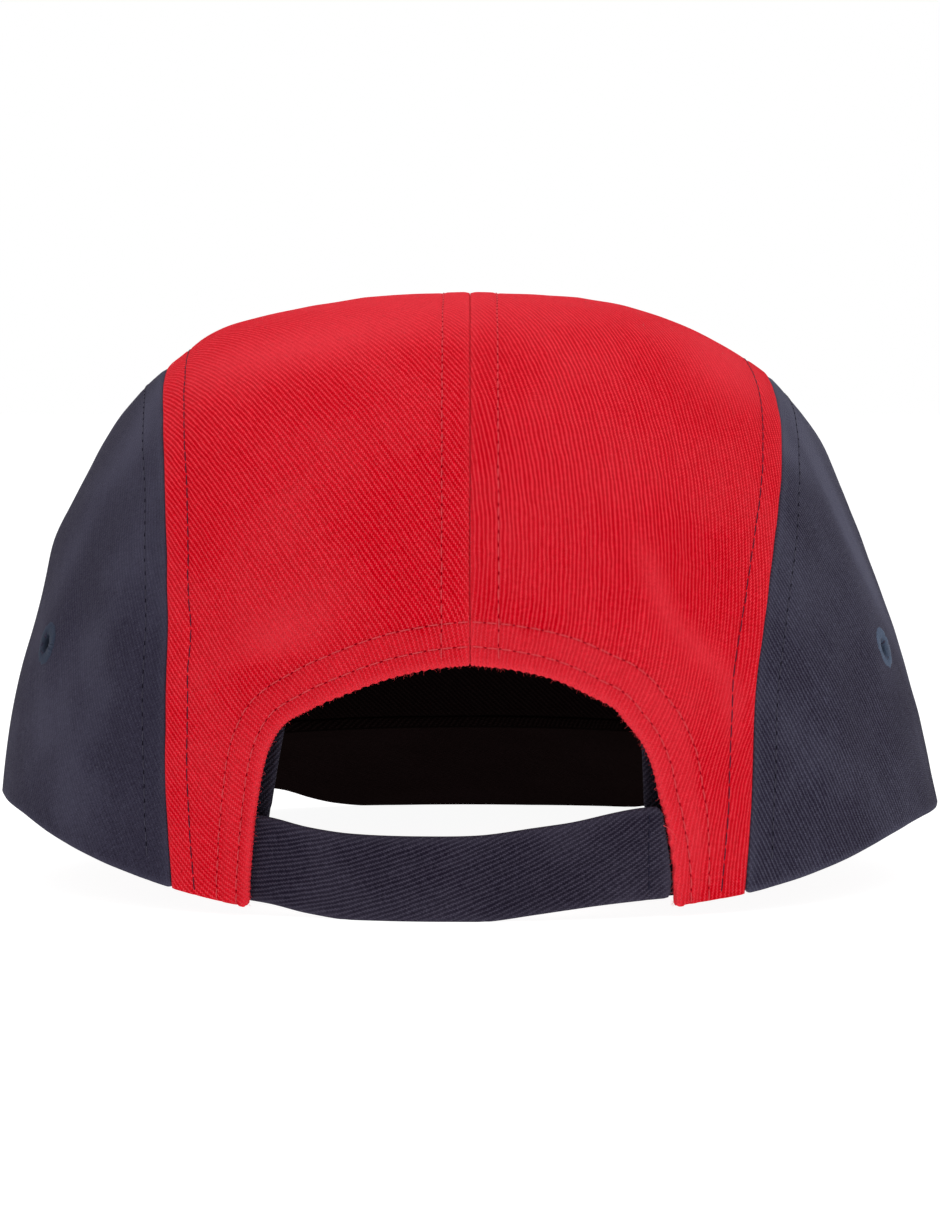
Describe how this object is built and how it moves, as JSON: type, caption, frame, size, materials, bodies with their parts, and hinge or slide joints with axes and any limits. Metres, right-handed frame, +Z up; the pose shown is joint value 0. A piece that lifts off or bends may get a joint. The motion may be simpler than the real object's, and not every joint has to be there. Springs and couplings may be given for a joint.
{
  "type": "flat brim cap",
  "caption": "Soft cap with a flat brim, a rounded crown in a centre band and two sides, and a cloth strap across an arched opening at the back.",
  "frame": {"origin": "on the table, under the middle of the cap's box", "axes": "+Z up, +Y forward from the back strap to the brim, +X to the wearer's right"},
  "size_m": [0.1958, 0.253, 0.1217],
  "materials": {
    "red_twill": "washed cotton twill",
    "navy_twill": "washed cotton twill",
    "blue_thread": "satin embroidery thread"
  },
  "bodies": {
    "root": {"back_panel_left": "red_twill", "back_panel_right": "red_twill", "front_panel": "red_twill", "side_panel_left": "navy_twill", "side_panel_right": "navy_twill", "brim": "navy_twill", "sweatband": "navy_twill", "strap": "navy_twill", "strap_tab": "navy_twill", "eyelet_left": "blue_thread", "eyelet_right": "blue_thread"}
  },
  "joints": []
}
